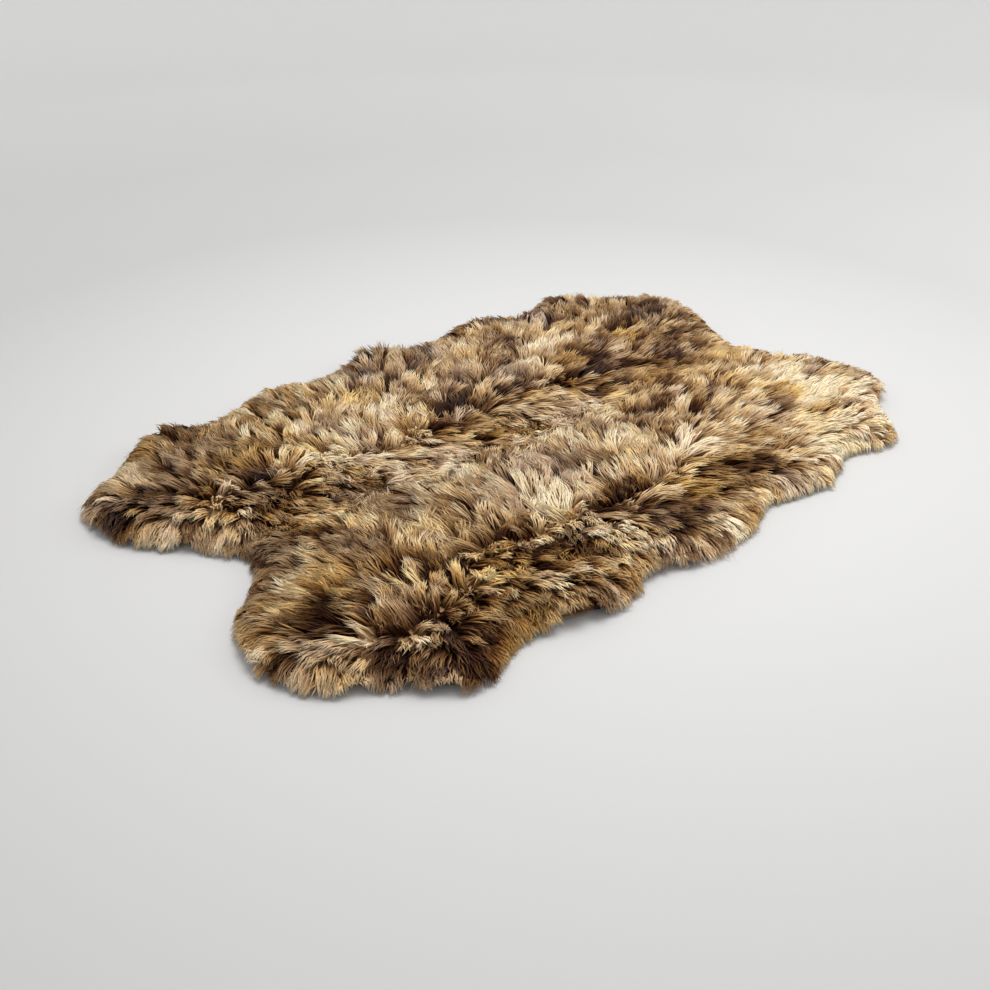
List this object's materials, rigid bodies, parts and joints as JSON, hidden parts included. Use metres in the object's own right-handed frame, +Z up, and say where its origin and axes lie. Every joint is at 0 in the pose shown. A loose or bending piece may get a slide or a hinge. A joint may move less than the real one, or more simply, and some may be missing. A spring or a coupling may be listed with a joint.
{
  "type": "sheepskin rug",
  "caption": "Long-haired sheepskin rug of whole pelts sewn edge to edge, lying flat with the wool up, with a scalloped outline and loose wool locks all round its rim.",
  "frame": {"origin": "middle of the rug's outline, on the floor that the hides lie on", "axes": "+X along the rug, +Y across it towards the back pelts, +Z up through the wool"},
  "size_m": [1.7916, 1.2198, 0.0694],
  "materials": {
    "hide": "matte tanned suede",
    "wool": "long soft wool, cream to dark brown"
  },
  "bodies": {
    "root": {"hide_back_left": "hide", "hide_back_right": "hide", "hide_front_left": "hide", "hide_front_right": "hide", "wool_back_left": "wool", "wool_back_right": "wool", "wool_front_left": "wool", "wool_front_right": "wool"}
  },
  "joints": []
}
